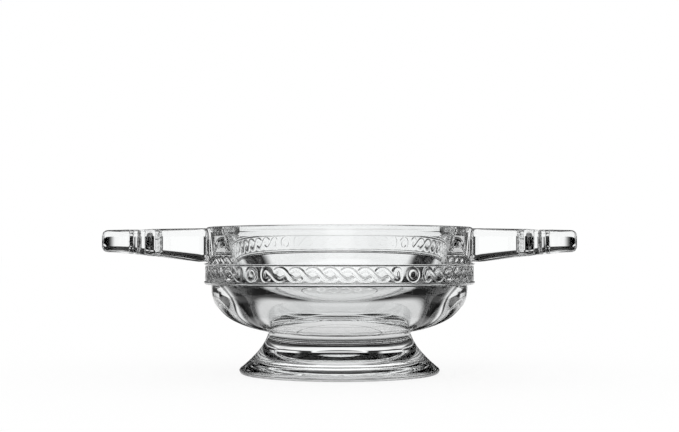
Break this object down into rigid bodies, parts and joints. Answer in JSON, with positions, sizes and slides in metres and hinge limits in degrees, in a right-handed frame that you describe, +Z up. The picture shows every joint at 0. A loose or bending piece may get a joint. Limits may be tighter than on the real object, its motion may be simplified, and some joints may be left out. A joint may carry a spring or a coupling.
{
  "type": "quaich",
  "caption": "Shallow footed drinking bowl in clear pressed glass, with a knotwork band round the outside and flat lug handles level with the rim.",
  "frame": {"origin": "on the vertical axis of the bowl, at the plane that the foot rests on", "axes": "+Z up along the bowl's axis, +X along the lugs towards the right lug, +Y away from the viewer"},
  "size_m": [0.15, 0.0856, 0.046],
  "materials": {
    "clear_glass": "clear colourless glass, pressed in a mould and fire-polished",
    "band_glass": "clear colourless glass with low moulded relief, edges softened by fire-polishing"
  },
  "bodies": {
    "root": {"bowl": "clear_glass", "girdle": "band_glass", "interlace": "band_glass", "ring_studs": "band_glass", "left_lug": "clear_glass", "right_lug": "clear_glass", "foot": "clear_glass"}
  },
  "joints": []
}
